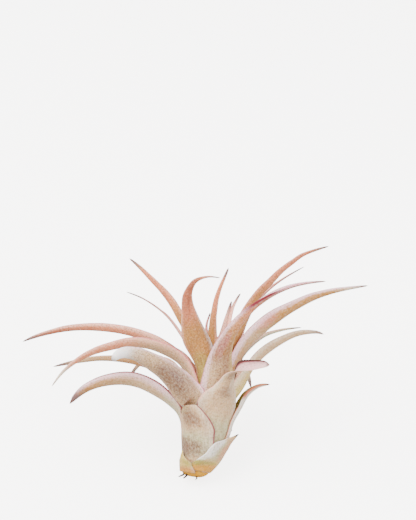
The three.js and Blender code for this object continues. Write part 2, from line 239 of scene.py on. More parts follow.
UPPER_LEAVES = {
    "leaf_front_tall": dict(
        turn=15, layer=12.2, leaves=44, neck=10.5, blade=7.5, left=0.9, roll=75, rolls=(0.2, 0.75),
        columns=18, rows=110, look="tall_crimson",
        route=((14.2, 54, -6), (18, 61.5, -6), (21.6, 68.5, -1), (24.8, 76, 7), (29.1, 83.8, 16),
               (34.1, 90.5, 25), (39.6, 95.9, 34), (44.4, 99.1, 41), (53, 102.4, 48)),
    ),
    "leaf_left_mid": dict(
        turn=-72, layer=14.2, leaves=42, neck=9, blade=10.5, taper=0.85, right=0.8, open_right=0.9,
        roll=25, columns=14, rows=80, look="salmon_keel",
        route=((17.5, 53), (30, 57.8), (40, 58.5), (47.2, 57.2), (54.4, 54.5), (61.6, 51.2),
               (68.5, 46.5), (75, 39.9), (79.9, 31.9)),
    ),
    "leaf_right_back_thin": dict(
        turn=122, layer=14.7, leaves=50, neck=7, blade=4.5, look="green_grey",
        route=((14.5, 62), (19.5, 69), (26.9, 75.7), (36.7, 80.6), (49.2, 84.8)),
    ),
    "leaf_left_long": dict(
        turn=-98, layer=16, leaves=47, neck=8.5, blade=8, taper=0.62, right=0.65, open_right=0.87,
        roll=25, columns=14, rows=96, look="long_salmon",
        route=((17, 57), (29, 62.2), (42.5, 65), (54, 66), (67.5, 65.3), (79, 63.1), (90.5, 59.1),
               (100.7, 54.3)),
    ),
    "leaf_right_wide": dict(
        turn=82, layer=16.8, leaves=54, neck=9, blade=10, taper=0.9, roll=-25, rolls=(0, 0.4), columns=14,
        rows=96, look="wide_lavender",
        route=((14.7, 66.7), (22.8, 77.8), (29.4, 84.5), (36.2, 90), (44.8, 96), (53.8, 100.3),
               (70.1, 105.9)),
    ),
    "leaf_centre_front": dict(
        turn=-36, layer=17.9, leaves=50, neck=8.5, blade=12.5, taper=1.35, left=0.6, open_left=1, roll=37,
        rolls=(0, 0.3), curl=80, columns=18, rows=110, look="gold_salmon",
        route=((15.5, 61, -2), (21, 68.5, -2), (27, 75.5), (33, 83, 3), (37, 89, 9), (39.5, 91.6, 15),
               (41.5, 93.2, 23), (43.5, 93.2, 31)),
    ),
    "leaf_right_back_high": dict(
        turn=132, layer=18.7, leaves=56, neck=6, blade=4.2, right=0.7, look="mauve_thin",
        route=((13.5, 72), (16.5, 82), (21.5, 92), (30, 101.5), (38.4, 108.6), (53, 118.9)),
    ),
    "leaf_left_back_thin": dict(
        turn=-140, layer=19.5, leaves=50, neck=6, blade=3.6, left=0.6, look="mauve_thin",
        route=((14, 58.5), (21.4, 63.5), (31.1, 71), (43.1, 79.5), (51.6, 84), (68.6, 90.6),
               (86.1, 95.1)),
    ),
    "leaf_right_high": dict(
        turn=58, layer=20.7, leaves=62, neck=7.5, rows=84, look="salmon",
        route=((11.5, 73), (14, 81), (17.3, 88.3), (21, 94), (25, 99, 1), (30, 105.4, 2), (35, 110.2, 3),
               (40, 114.2, 3), (52.5, 119.8, 4)),
    ),
    "leaf_left_high": dict(
        turn=-88, layer=22.2, leaves=54, neck=7, blade=6.5, roll=30, rows=84, look="salmon",
        route=((13.9, 65), (21.8, 76), (27.6, 83.6), (32.9, 88.8), (38.7, 93.4), (44.4, 97.9),
               (51.3, 102.9)),
    ),
}

INNER_LEAVES = {
    "leaf_inner_back": dict(
        turn=176, layer=21.2, leaves=55, wrap=44, neck=6.5, blade=4.5, left=0.6, right=0.7, look="salmon",
        route=((12, 65), (20, 72), (30, 76), (42, 76)),
    ),
    "leaf_inner_right_thin": dict(
        turn=160, layer=23.3, leaves=63, neck=5, blade=3, look="pink_thin",
        route=((8.5, 72), (10.5, 79.5), (13, 87.5), (18, 96.5, -4)),
    ),
    "leaf_centre_upright": dict(
        turn=-22, layer=24.4, leaves=57, neck=5, blade=3.8, look="upright",
        route=((9.5, 65), (12.8, 73, 1), (15.8, 80, 4), (18.5, 88.2, 8), (22, 102.3, 20)),
    ),
    "leaf_inner_left_thin": dict(
        turn=-115, layer=26, leaves=62, neck=4.5, blade=2.6, look="pink_thin",
        route=((7.8, 70), (8.6, 76), (7.8, 82.5, -5)),
    ),
    "leaf_inner_front_thin": dict(
        turn=12, layer=26.6, leaves=64, neck=4.5, blade=2.8, look="pink_thin",
        route=((7.5, 73), (8.5, 80, 2), (10.5, 88, 6)),
    ),
    "leaf_core_left": dict(
        turn=-62, layer=28, leaves=60, wrap=45, neck=4, blade=2.4, look="heart",
        route=((6.2, 68), (5.4, 75)),
    ),
    "leaf_core_back": dict(
        turn=178, layer=29, leaves=58, wrap=45, neck=3.6, blade=2.2, look="heart",
        route=((5.6, 66), (4.6, 72)),
    ),
    "leaf_core_right": dict(
        turn=60, layer=30, leaves=56, wrap=45, neck=3.2, blade=2, look="heart", route=((5, 63), (4, 69)),
    ),
}

# How each kind of leaf is painted. keel: its colours from the attachment (-1) past the neck (0) to the
# tip (1). bands: a colour that it passes to on one side (-1 left, 1 right, 0 both) between two shares of
# the half width, and how strongly. A one-sided band is partly the leaf's own colour and partly painted
# light and shade: mostly the paler bands lie on the side of the blade that faces up, and the warmer,
# darker ones on the side that faces down. bloom, specks, stripes, blotches: how strongly silvery scales,
# brown specks, dark lines along the leaf and brown clouds cover it. patches: soft spots, each a colour,
# its place across and along, its reach across and along, and its strength; two brown ones are painted
# shade. margins: thin lines, each a colour, its strength, its side, where it starts and ends along the
# leaf, and its width. inside: the channel's colour and strength. tip: colour and start.

PLAIN = dict(
    bands=(("lavender", 0, 0.35, 1, 0.7),), bloom=0.3, specks=0.5, stripes=0.2, blotches=0.2, patches=(),
    margins=(("rose", 0.4, 0, -0.5, 0.9, 0.08),), inside=("blush", 0.35), tip=("mauve", 0.88),
)

LOOKS = {
    "pale_flap": dict(
        keel=((-1, "amber"), (-0.6, "gold"), (-0.2, "straw"), (1, "straw")),
        bands=(("chalk", 0, 0.6, 1, 0.2),), bloom=0.05, stripes=0.4,
        patches=(("olive", 0.6, 0.0, 0.5, 0.4, 0.6),), margins=(("brown", 0.6, 0, -1, 1, 0.06),),
        tip=("straw", 0.9),
    ),
    "foot": dict(
        keel=((-1, "amber"), (-0.72, "amber"), (-0.54, "straw"), (-0.3, "beige"), (0.1, "beige"),
              (1, "beige")), bands=(("beige", 1, 0.2, 1, 0.5),), bloom=0.15, blotches=0.3,
        patches=(("silver_green", -0.7, -0.05, 0.5, 0.6, 0.95), ("chalk", -0.85, 0, 0.28, 0.5, 0.7),
                 ("olive", -0.8, -0.62, 0.3, 0.16, 0.9), ("olive", -0.5, -0.56, 0.3, 0.1, 0.5),
                 ("salmon", -0.2, 0.1, 0.3, 0.6, 0.45)), margins=(("chalk", 0.6, -1, -0.5, 0.6, 0.05),),
        inside=("chalk", 0.8), tip=("bark", 0.84),
    ),
    "torn": dict(
        keel=((-1, "gold"), (-0.85, "beige"), (-0.6, "silver_green"), (-0.2, "silver_green"),
              (0.02, "beige"), (0.3, "beige"), (1, "silver")),
        bands=(("silver", 1, 0.5, 1, 0.65), ("blush", -1, 0.3, 0.8, 0.35)), bloom=0.35, stripes=0.6,
        blotches=0.5,
        # The second brown patch darkens the lower sheath: painted shade.
        patches=(("brown", 0.22, 0.13, 0.5, 0.14, 0.7), ("brown", -0.3, -0.5, 1.1, 0.32, 0.9),
                 ("olive", -0.1, 0.28, 0.5, 0.12, 0.35)),
        margins=(("crimson", 0.9, 1, -0.9, 0.4, 0.06), ("rose", 0.5, -1, -0.9, 0.4, 0.06)),
        tip=("mauve", 0.97),
    ),
    "silver": dict(keel=((-1, "straw"), (-0.5, "silver_green"), (0.2, "silver"), (1, "silver"))),
    "olive": dict(
        keel=((-1, "straw"), (-0.4, "silver"), (0.6, "silver"), (1, "beige")),
        bands=(("chalk", 0, 0.3, 1, 0.5),), bloom=0.4, blotches=0.1,
        margins=(("rust", 0.95, -1, 0.45, 1, 0.3), ("salmon", 0.5, 1, -0.2, 0.9, 0.1),
                 ("salmon", 0.85, -1, -0.9, 0.3, 0.08)), inside=("olive", 0.95), tip=("bark", 0.94),
    ),
    "lavender_red": dict(
        keel=((-1, "straw"), (-0.5, "silver_green"), (-0.1, "silver_green"), (0.25, "beige"),
              (0.5, "beige"), (0.85, "gold"), (1, "mauve")),
        bands=(("lavender", 1, 0.4, 0.85, 0.85), ("silver", -1, 0.6, 1, 0.3)),
        patches=(("rust", 0.6, 0.93, 0.5, 0.03, 0.7), ("silver_green", 0.4, 0.08, 1.2, 0.2, 0.75)),
        margins=(("crimson", 0.95, 1, 0.02, 0.8, 0.09), ("rose", 0.4, -1, 0, 0.9, 0.06)),
        tip=("mauve", 0.9),
    ),
    "silver_red": dict(
        keel=((-1, "straw"), (-0.8, "silver_green"), (-0.35, "silver_green"), (-0.1, "beige"),
              (0.45, "beige"), (0.7, "salmon"), (1, "blush")), bands=(("silver", 0, 0.45, 1, 0.75),),
        stripes=0.4, blotches=0.35,
        # The second brown patch, halfway up the blade, is painted shade.
        patches=(("brown", -0.02, 0.2, 0.55, 0.1, 0.6), ("brown", -0.1, 0.47, 0.6, 0.12, 0.5),
                 ("silver", 0.35, 0.27, 0.3, 0.14, 0.4)),
        margins=(("crimson", 0.95, -1, -0.5, 0.0, 0.06), ("blush", 0.6, -1, 0.0, 1.1, 0.1),
                 ("crimson", 1.0, 1, 0.3, 1.1, 0.3), ("bark", 0.85, 1, 0.3, 1.1, 0.18)),
        inside=("lavender", 0.65), tip=("mauve", 0.99),
    ),
    "mottled": dict(
        keel=((-1, "silver_green"), (-0.3, "silver"), (0, "beige"), (0.2, "beige"), (0.65, "beige"),
              (0.85, "silver"), (1, "chalk")),
        bands=(("lavender", 1, 0.3, 0.85, 0.85), ("beige", -1, 0.5, 1, 0.5)), specks=0.85, blotches=0.4,
        patches=(("brown", -0.3, 0.38, 0.65, 0.2, 0.75), ("brown", -0.45, 0.2, 0.4, 0.12, 0.5),
                 ("mauve", 0.2, 0.33, 0.5, 0.25, 0.55)),
        margins=(("rose", 0.95, 1, -0.5, 0.36, 0.08), ("lavender", 0.6, -1, 0.3, 0.9, 0.08)),
        tip=("chalk", 0.84),
    ),
    "tan": dict(
        keel=((-1, "straw"), (0, "beige"), (0.4, "gold"), (0.85, "beige"), (1, "mauve")),
        bands=(("silver", 0, 0.55, 1, 0.5),), tip=("mauve", 0.9),
    ),
    "lavender": dict(
        keel=((-1, "straw"), (-0.1, "straw"), (0.15, "straw"), (0.4, "beige"), (0.85, "beige"),
              (1, "silver")), bands=(("silver", -1, 0.4, 0.9, 0.7), ("gold", 1, 0.2, 0.9, 0.6)),
        margins=(("rose", 0.3, 0, 0, 0.9, 0.06),), tip=("mauve", 0.93),
    ),
    "tall_crimson": dict(
        keel=((-1, "straw"), (-0.3, "silver"), (0, "beige"), (0.12, "beige"), (0.22, "gold"),
              (0.34, "gold"), (0.5, "salmon"), (0.8, "rust"), (1, "beige")),
        bands=(("lavender", -1, 0.45, 0.85, 0.8), ("straw", 1, 0.4, 0.9, 0.85)), specks=0.8,
        blotches=0.35,
        patches=(("rose", -0.3, 0.27, 0.4, 0.1, 0.45), ("mauve", -0.35, 0.23, 0.5, 0.12, 0.4),
                 ("brown", 0.35, 0.2, 0.4, 0.12, 0.4)),
        margins=(("crimson", 1.0, -1, 0.5, 0.72, 0.35), ("rose", 0.6, -1, 0.72, 1, 0.12),
                 ("rose", 0.4, -1, -0.2, 0.5, 0.08)), inside=("lavender", 0.9), tip=("mauve", 0.95),
    ),
    "salmon_keel": dict(
        keel=((-1, "straw"), (0, "beige"), (0.35, "beige"), (0.55, "salmon"), (0.82, "salmon"),
              (0.92, "mauve"), (1, "chalk")),
        bands=(("blush", 1, 0.4, 0.9, 0.65), ("rust", -1, 0.0, 0.6, 0.5)),
        margins=(("rose", 0.6, 1, 0, 0.9, 0.07),), tip=("silver", 0.87),
    ),
    "gold_salmon": dict(
        keel=((-1, "straw"), (-0.2, "straw"), (0.04, "straw"), (0.16, "gold"), (0.34, "gold"),
              (0.5, "salmon"), (0.72, "rust"), (0.86, "salmon"), (1, "blush")),
        bands=(("blush", -1, 0.6, 0.95, 0.6), ("chalk", 1, 0.6, 0.95, 0.5)), bloom=0.12, specks=0.7,
        stripes=0.5, blotches=0.35,
        patches=(("rust", -0.2, 0.6, 0.7, 0.16, 0.6), ("olive", 0, 0.06, 0.8, 0.12, 0.45)),
        margins=(("chalk", 0.4, 1, 0, 0.9, 0.06),), tip=("mauve", 0.93),
    ),
    "salmon": dict(
        keel=((-1, "straw"), (-0.2, "straw"), (0, "gold"), (0.4, "gold"), (0.6, "salmon"),
              (0.85, "salmon"), (1, "beige")),
        bands=(("blush", 0, 0.5, 1, 0.5), ("rust", -1, 0.1, 0.7, 0.4)), bloom=0.1, specks=0.7,
        stripes=0.5, blotches=0.3, tip=("mauve", 0.93),
    ),
    "green_grey": dict(
        keel=((-1, "straw"), (0.2, "silver_green"), (1, "silver_green")),
        bands=(("silver", 0, 0.4, 1, 0.6),),
    ),
    "long_salmon": dict(
        keel=((-1, "straw"), (0, "beige"), (0.2, "blush"), (0.4, "salmon"), (0.6, "salmon"),
              (0.85, "rust"), (1, "mauve")),
        bands=(("blush", 1, 0.4, 0.8, 0.8), ("rust", -1, 0.0, 0.6, 0.6)), bloom=0.2, specks=0.7,
        blotches=0.35, margins=(("crimson", 0.85, 1, 0, 0.26, 0.09), ("rose", 0.5, 1, 0.26, 0.9, 0.07)),
        tip=("mauve", 0.95),
    ),
    "wide_lavender": dict(
        keel=((-1, "straw"), (0, "gold"), (0.25, "beige"), (0.4, "gold"), (0.78, "gold"),
              (0.92, "silver"), (1, "silver")),
        bands=(("lavender", -1, 0.45, 0.8, 0.85), ("silver", 1, 0.4, 1, 0.5)), blotches=0.15,
        patches=(("rose", -0.5, 0.36, 0.4, 0.08, 0.35),), margins=(("rose", 0.4, 0, 0, 0.9, 0.06),),
        tip=("mauve", 0.95),
    ),
    "upright": dict(
        keel=((-1, "straw"), (0, "gold"), (0.35, "gold"), (0.6, "salmon"), (0.85, "salmon"),
              (1, "mauve")), bands=(("blush", 1, 0.3, 0.9, 0.6),), bloom=0.1, specks=0.6, blotches=0.1,
        tip=("mauve", 0.92),
    ),
    "mauve_thin": dict(
        keel=((-1, "straw"), (0, "gold"), (0.3, "blush"), (0.7, "rust"), (1, "mauve")),
        bands=(("mauve", 0, 0.3, 1, 0.5),),
    ),
    "pink_thin": dict(
        keel=((-1, "straw"), (-0.2, "gold"), (0.2, "blush"), (0.6, "blush"), (1, "mauve")),
        bands=(("rose", 0, 0.3, 1, 0.5),), bloom=0.2,
    ),
    "heart": dict(
        keel=((-1, "straw"), (0, "gold"), (1, "straw")), bands=(("blush", 0, 0.4, 1, 0.5),), bloom=0.15,
    ),
}


# Growth: the shapes that the sizes drive

# Shares of the blade's length: where the channel has its full curl, where it stands square to its midrib
# and where it is thickest, where the tip starts to get its extra width, between which shares the keel and
# the ripples grow in, between which the waves do, and how much of the tip has no ripples.
CURLED_BY = 0.6
SQUARE_BY = 0.25
FLESHY_BY = 0.2
TIP_FROM = 0.7
SHAPED = (0.05, 0.4)
WAVES_GROW = (0.1, 0.4)
TIP_CALM = 0.2

# Slow waves of the width, the roll and the margins: how high they are, how many a millimetre, and which
# of the noise's layers they follow.
WIDTH_WAVES = (0.05, 0.09, 3.1)
ROLL_WAVES = (0.12, 0.06, 8.7)
RIPPLES = (0.3 * MM, 0.16, 4)

# Across the leaf, as a share of its half width: how far the keel reaches, and how square the margins are.
KEEL_REACH = 0.22
MARGIN_SQUARENESS = 10


def blend(low, high, share):
    return low + (high - low) * share


def ease(value, low, high):
    """0 below low, 1 above high, and smooth between them."""
    share = min(max((value - low) / (high - low), 0), 1)
    return share * share * (3 - 2 * share)


def on_plant(reach, height, turn):
    """A point at this distance from the stem's axis, in the direction of this turn in degrees."""
    way = math.radians(turn)
    return Vector((math.sin(way) * reach, -math.cos(way) * reach, height))


def sheath_radius(sizes, layer, height):
    swell = 1 - math.exp((sizes.first_attachment - height) / sizes.bulb_rise)
    return sizes.foot_radius + sizes.bulb_swell * swell - sizes.layer_pitch * layer


def attachment_height(sizes, layer):
    return sizes.first_attachment + sizes.attachment_step * layer


def shifted(sizes, place):
    """The oblique foot: the base of the bulb lies to the left."""
    share = max(1 - place.z / sizes.foot_shift_height, 0)
    return Vector((place.x - sizes.foot_shift * share ** 2, place.y, place.z))


def rest_pose(sizes):
    """Turns the upright plant into the pose that it lies in."""
    lean = Matrix.Rotation(-sizes.lean_back, 4, "X") @ Matrix.Rotation(sizes.lean_aside, 4, "Y")
    return Matrix.Translation(sizes.foot_place) @ lean


def curve_point(before, start, end, after, share):
    """A point of a smooth curve from start to end, whose knots lie apart by the root of the chords."""
    knots = [0.0]
    for one, next_one in ((before, start), (start, end), (end, after)):
        knots.append(knots[-1] + math.sqrt((next_one - one).length))
    at = blend(knots[1], knots[2], share)
    points = [before, start, end, after]
    for reaches in (((0, 1), (1, 2), (2, 3)), ((0, 2), (1, 3)), ((1, 2),)):
        points = [
            one.lerp(next_one, (at - knots[low]) / (knots[high] - knots[low]))
            for one, next_one, (low, high) in zip(points, points[1:], reaches)
        ]
    return points[0]


def path_length(points):
    return sum((b - a).length for a, b in zip(points, points[1:]))


class Midrib:
    """A smooth line up the sheath's cone and on along the blade, which gives its points by share."""

    POINTS_PER_SPAN = 12
    SHEATH_SPANS = 4
    TANGENT_REACH = 0.012

    def __init__(self, sizes, leaf):
        start = attachment_height(sizes, leaf["layer"])
        marks = []
        for i in range(self.SHEATH_SPANS + 1):
            height = blend(start, leaf["leaves"] * MM, i / self.SHEATH_SPANS)
            marks.append(on_plant(sheath_radius(sizes, leaf["layer"], height), height, leaf["turn"]))
        sheath_length = path_length(marks)
        for reach, height, *swing in leaf["route"]:
            marks.append(on_plant(reach * MM, height * MM, leaf["turn"] + sum(swing)))
        self.sheath_share = sheath_length / path_length(marks)
        ends = [2 * marks[0] - marks[1], *marks, 2 * marks[-1] - marks[-2]]
        self.points = [marks[0]]
        for four in zip(ends, ends[1:], ends[2:], ends[3:]):
            for i in range(1, self.POINTS_PER_SPAN + 1):
                self.points.append(curve_point(*four, i / self.POINTS_PER_SPAN))
        self.distances = [0.0]
        for a, b in zip(self.points, self.points[1:]):
            self.distances.append(self.distances[-1] + (b - a).length)
        self.length = self.distances[-1]

    def point(self, share):
        distance = min(max(share, 0), 1) * self.length
        i = min(bisect_right(self.distances, distance), len(self.points) - 1)
        span = self.distances[i] - self.distances[i - 1]
        return self.points[i - 1].lerp(self.points[i], (distance - self.distances[i - 1]) / span)

    def tangent(self, share):
        ahead = self.point(share + self.TANGENT_REACH)
        return (ahead - self.point(share - self.TANGENT_REACH)).normalized()


class Section:
    """The arc that the leaf makes across its midrib at one place."""

    def __init__(self, sizes, leaf, rib, along, side, seed):
        """side points to the leaf's right. It is turned in place, so each section hands it to the next."""
        self.sizes, self.leaf, self.seed, self.along = sizes, leaf, seed, along
        self.point = rib.point(along)
        self.distance = along * rib.length
        sheath = rib.sheath_share
        self.t = max((along - sheath) / (1 - sheath), 0)
        self.share = self.t if self.t > 0 else along / sheath - 1
        tangent = rib.tangent(along)
        neck_angle = leaf["neck"] * MM / sheath_radius(sizes, leaf["layer"], leaf["leaves"] * MM)
        if self.t > 0:
            self.angle = blend(neck_angle, math.radians(leaf["curl"]), ease(self.t, 0, CURLED_BY))
            self.radius = self.blade_width() / self.angle
            side -= tangent * side.dot(tangent)
            side.normalize()
        else:
            self.angle = blend(math.radians(leaf["wrap"]), neck_angle, ease(along / sheath, 0, 1))
            self.radius = math.hypot(self.point.x, self.point.y)
        inward = Vector((-self.point.x, -self.point.y, 0)).normalized()
        up = inward.lerp(tangent.cross(side), ease(self.t, 0, SQUARE_BY)).normalized()
        roll = math.radians(leaf["roll"]) * ease(self.t, *leaf["rolls"]) + self.wave(*ROLL_WAVES)
        turned = Matrix.Rotation(roll, 3, tangent)
        self.across = turned @ side
        self.up = turned @ up
        opened = ease(self.t, *leaf["opens"])
        self.left = blend(leaf["left"], leaf["open_left"], opened)
        self.right = blend(leaf["right"], leaf["open_right"], opened)
        self.thickness = self.fleshiness()

    def wave(self, height, rate, layer):
        """A slow wave along the blade, which is calm at the neck."""
        wave = noise.noise(Vector((self.distance / MM * rate, self.seed, layer)))
        return height * wave * ease(self.t, *WAVES_GROW)

    def blade_width(self):
        """Half the width of the blade, which falls to a straight point at its tip."""
        sizes, leaf, t = self.sizes, self.leaf, self.t
        width = leaf["blade"] * (1 - t) ** leaf["taper"]
        width *= min((1 - t) / sizes.point_share, 1) ** (1 - min(leaf["taper"], 1))
        width += (leaf["neck"] - leaf["blade"]) * (1 - ease(t, 0, leaf["shoulder"]))
        width *= 1 + self.wave(*WIDTH_WAVES)
        return width * MM + sizes.tip_half_width * ease(t, TIP_FROM, 1)

    def fleshiness(self):
        sizes, t = self.sizes, self.t
        if t == 0:
            return sizes.sheath_thickness
        fleshy = blend(sizes.sheath_thickness, sizes.blade_thickness, ease(t, 0, FLESHY_BY))
        return min(blend(fleshy, sizes.tip_thickness, t), self.radius)

    def place(self, v, face):
        """The surface at this share of the half width: outside for face 1, inside for face -1."""
        margin = min(self.sizes.margin_thickness, self.thickness)
        half = blend(self.thickness, margin, v * v) / 2 * math.sqrt(1 - v ** MARGIN_SQUARENESS)
        shaped = ease(self.t, *SHAPED)
        keel = self.leaf["keel"] * MM * math.exp(-(v / KEEL_REACH) ** 2) * shaped * (1 - self.t)
        height, rate, layer = RIPPLES
        ripple = height * abs(v) ** 3 * shaped * ease(1 - self.t, 0, TIP_CALM)
        ripple *= noise.noise(Vector((self.distance / MM * rate, math.copysign(layer, v), self.seed)))
        turned = self.angle * v * (self.left if v < 0 else self.right)
        reach = self.radius + face * half + keel + ripple
        centre = self.point + self.up * self.radius
        place = centre + self.across * math.sin(turned) * reach - self.up * math.cos(turned) * reach
        if self.t > 0:
            place = self.kept_outside(place, face * half)
        return shifted(self.sizes, place)

    def kept_outside(self, place, offset, starts=8 * MM, ends=25 * MM):
        """The sheaths inside the lower blade bend it, so it comes no nearer to the stem than its own."""
        top = self.leaf["leaves"] * MM
        hold = 1 - ease(place.z, top + starts, top + ends)
        least = (sheath_radius(self.sizes, self.leaf["layer"], place.z) + offset) * hold
        reach = math.hypot(place.x, place.y)
        if reach >= least:
            return place
        return Vector((place.x * least / reach, place.y * least / reach, place.z))


def leaf_sections(sizes, leaf, seed):
    rib = Midrib(sizes, leaf)
    way = math.radians(leaf["turn"])
    side = Vector((math.cos(way), math.sin(way), 0))
    longest = max(kept for _, kept in leaf["torn_edge"])
    rows = leaf["rows"]
    return [Section(sizes, leaf, rib, longest * i / rows, side, seed) for i in range(rows + 1)]


def read_edge(edge, v):
    """The share of the leaf's length that is kept at v, read off the torn edge's corners."""
    for (v0, kept0), (v1, kept1) in zip(edge, edge[1:]):
        if v <= v1:
            return blend(kept0, kept1, (v - v0) / (v1 - v0))
    return edge[-1][1]


def whole_spot(leaf, sections, row, v, face):
    """The section and place of one corner of a whole leaf, which ends in a point, and how frayed it is."""
    section = sections[row]
    if row == leaf["rows"]:
        return section, shifted(section.sizes, section.point), 0.0
    return section, section.place(v, face if row else 0), 0.0


# The torn edge: how deep its small teeth are, as a share of the leaf's length, how many there are over
# the half width, how much of their depth its right half has and by where across it, where along the kept
# part the fray starts, how strong the fray is on the right half, and between which places it weakens.
TEETH_DEPTH = 0.014
TEETH = 30
TEETH_ON_RIGHT = 0.25
TEETH_WEAK_BY = 0.3
FRAYED_FROM = 0.95
FRAYED_ON_RIGHT = 0.5
FRAY_WEAKENS = (0.2, 0.5)


def torn_spot(leaf, sections, row, v, face):
    """The same for the torn leaf, whose rows are spread up to its ragged edge."""
    rows = leaf["rows"]
    teeth = TEETH_DEPTH * noise.noise(Vector((v * TEETH, sections[0].seed, 0)))
    kept = read_edge(leaf["torn_edge"], v)
    kept += teeth * blend(TEETH_ON_RIGHT, 1, ease(-v, -TEETH_WEAK_BY, 0))
    at = row * kept / sections[-1].along
    low = min(int(at), rows - 1)
    if row in (0, rows):
        face = 0
    spot = sections[low].place(v, face).lerp(sections[low + 1].place(v, face), at - low)
    frayed = ease(row / rows, FRAYED_FROM, 1) * blend(1, FRAYED_ON_RIGHT, ease(v, *FRAY_WEAKENS))
    return sections[low], spot, frayed


# Columns crowd towards the margins by this share, corners past AT_MARGIN lie on the margin itself, where
# the inside meets the outside, and corners closer than WELD are welded.
CROWDED = 0.35
AT_MARGIN = 0.999
WELD = 0.002 * MM


def build_leaf(name, shape, seed):
    """One closed leaf: a grid wrapped round both faces, welded at its margin and at both ends."""
    sizes = bpy.context.scene.air_plant_sizes
    leaf = {**USUAL, **shape}
    leaf.setdefault("open_left", leaf["left"])
    leaf.setdefault("open_right", leaf["right"])
    sections = leaf_sections(sizes, leaf, seed)
    rows, columns = leaf["rows"], leaf["columns"]
    spot_of = torn_spot if "torn_edge" in shape else whole_spot
    pose = rest_pose(sizes)

    mesh = bmesh.new()
    grain = mesh.verts.layers.float_vector.new("leaf_grain")
    place = mesh.verts.layers.float_vector.new("leaf_share")
    bmesh.ops.create_grid(mesh, x_segments=rows, y_segments=2 * columns, size=0.5)
    for vert in mesh.verts:
        row = round((vert.co.x + 0.5) * rows)
        column = round((vert.co.y + 0.5) * 2 * columns)
        face = 1 if column <= columns else -1
        v = 2 * column / columns
        v = v - 1 if face > 0 else 3 - v
        v = math.sin(v * math.pi / 2) * CROWDED + v * (1 - CROWDED)
        section, spot, frayed = spot_of(leaf, sections, row, v, face)
        vert.co = pose @ spot
        half_width = section.radius * section.angle / MM
        inside = 0.5 if abs(v) > AT_MARGIN else (1 - face) / 2
        vert[grain] = (v * half_width, section.distance / MM, inside)
        vert[place] = (v, section.share, frayed)
    bmesh.ops.remove_doubles(mesh, verts=mesh.verts, dist=WELD)
    bmesh.ops.dissolve_degenerate(mesh, edges=mesh.edges, dist=WELD)
    bmesh.ops.recalc_face_normals(mesh, faces=mesh.faces)
    return finished(mesh, f"{name}_grown", name, leaf_material(leaf["look"]))


def finished(mesh, piece_name, node, material):
    """Turns a bmesh into a piece that rides on the plant and stands for its CAD node."""
    for face in mesh.faces:
        face.smooth = True
    data = bpy.data.meshes.new(piece_name)
    mesh.to_mesh(data)
    mesh.free()
    piece = bpy.data.objects.new(piece_name, data)
    bpy.context.scene.collection.objects.link(piece)
    data.materials.append(material)
    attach(piece, BODY)
    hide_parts(node)
    return piece


# Paint: shader maths on sockets

class Wire:
    """An output of a node that can be added, multiplied and so on, which adds the Math nodes."""

    def __init__(self, paint, socket):
        self.paint, self.socket = paint, socket

    def of(self, output):
        """Another output of the same node."""
        return Wire(self.paint, self.socket.node.outputs[output])

    def math(self, operation, first, second):
        return self.paint.node("ShaderNodeMath", {"operation": operation}, {0: first, 1: second})

    def __add__(self, other):
        return self.math("ADD", self, other)

    def __radd__(self, other):
        return self.math("ADD", other, self)

    def __sub__(self, other):
        return self.math("SUBTRACT", self, other)

    def __rsub__(self, other):
        return self.math("SUBTRACT", other, self)

    def __mul__(self, other):
        return self.math("MULTIPLY", self, other)

    def __rmul__(self, other):
        return self.math("MULTIPLY", other, self)

    def __abs__(self):
        return self.math("ABSOLUTE", self, 0.0)

    def ease(self, low, high):
        """0 at low, 1 at high, smooth between them."""
        settings = {"interpolation_type": "SMOOTHSTEP"}
        inputs = {"Value": self, "From Min": low, "From Max": high}
        return self.paint.node("ShaderNodeMapRange", settings, inputs)


class Paint:
    """The nodes of a new material or world."""

    def __init__(self, owner):
        owner.use_nodes = True
        self.owner = owner
        self.tree = owner.node_tree
        self.tree.nodes.clear()

    def node(self, kind, settings=None, inputs=None, output=0):
        """Adds one node: its settings first, then a value or a Wire for each of its sockets."""
        node = self.tree.nodes.new(kind)
        for key, value in (settings or {}).items():
            if key == "stops":
                self.set_stops(node.color_ramp, value)
            else:
                setattr(node, key, value)
        for key, value in (inputs or {}).items():
            if isinstance(value, Wire):
                self.tree.links.new(value.socket, node.inputs[key])
            else:
                node.inputs[key].default_value = value
        return Wire(self, node.outputs[output]) if node.outputs else node

    @staticmethod
    def set_stops(ramp, stops):
        while len(ramp.elements) > 1:
            ramp.elements.remove(ramp.elements[-1])
        for i, (position, shown) in enumerate(stops):
            element = ramp.elements[0] if i == 0 else ramp.elements.new(position)
            element.position = position
            element.color = shown

    def attribute(self, name):
        """The three numbers of a vector attribute."""
        vector = self.node("ShaderNodeAttribute", {"attribute_name": name}, output="Vector")
        parts = self.node("ShaderNodeSeparateXYZ", inputs={"Vector": vector})
        return parts, parts.of("Y"), parts.of("Z")

    def noise(self, vector, scale, detail, roughness=0.5):
        inputs = {"Vector": vector, "Scale": scale, "Detail": detail, "Roughness": roughness}
        return self.node("ShaderNodeTexNoise", inputs=inputs)

    def mix(self, first, second, factor):
        """One colour passing into another."""
        inputs = {"Factor": factor, 6: first, 7: second}
        return self.node("ShaderNodeMix", {"data_type": "RGBA"}, inputs, output=2)

    def bump(self, height, strength, distance):
        inputs = {"Height": height, "Strength": strength, "Distance": distance}
        return self.node("ShaderNodeBump", inputs=inputs)

    def surface(self, **inputs):
        named = {key.replace("_", " "): value for key, value in inputs.items()}
        shader = self.node("ShaderNodeBsdfPrincipled", inputs=named)
        self.node("ShaderNodeOutputMaterial", inputs={"Surface": shader})
        return self.owner


def shade(key):
    """A colour of the palette, opaque."""
    return (*getattr(bpy.context.scene.air_plant_colours, key), 1)


# The grains of leaf skin: how many there are a millimetre across and along the leaf, the noise's layer
# that they follow, its detail and its roughness.
GRAINS = {
    "streaks": (1.5, 0.1, 0.0, 3.0, 0.5),
    "lines": (2.0, 0.06, 21.0, 2.0, 0.5),
    "scales": (1.0, 0.7, 5.0, 3.0, 0.6),
    "clouds": (0.25, 0.14, 9.0, 3.0, 0.6),
    "specks": (1.3, 1.1, 13.0, 2.0, 0.7),
}

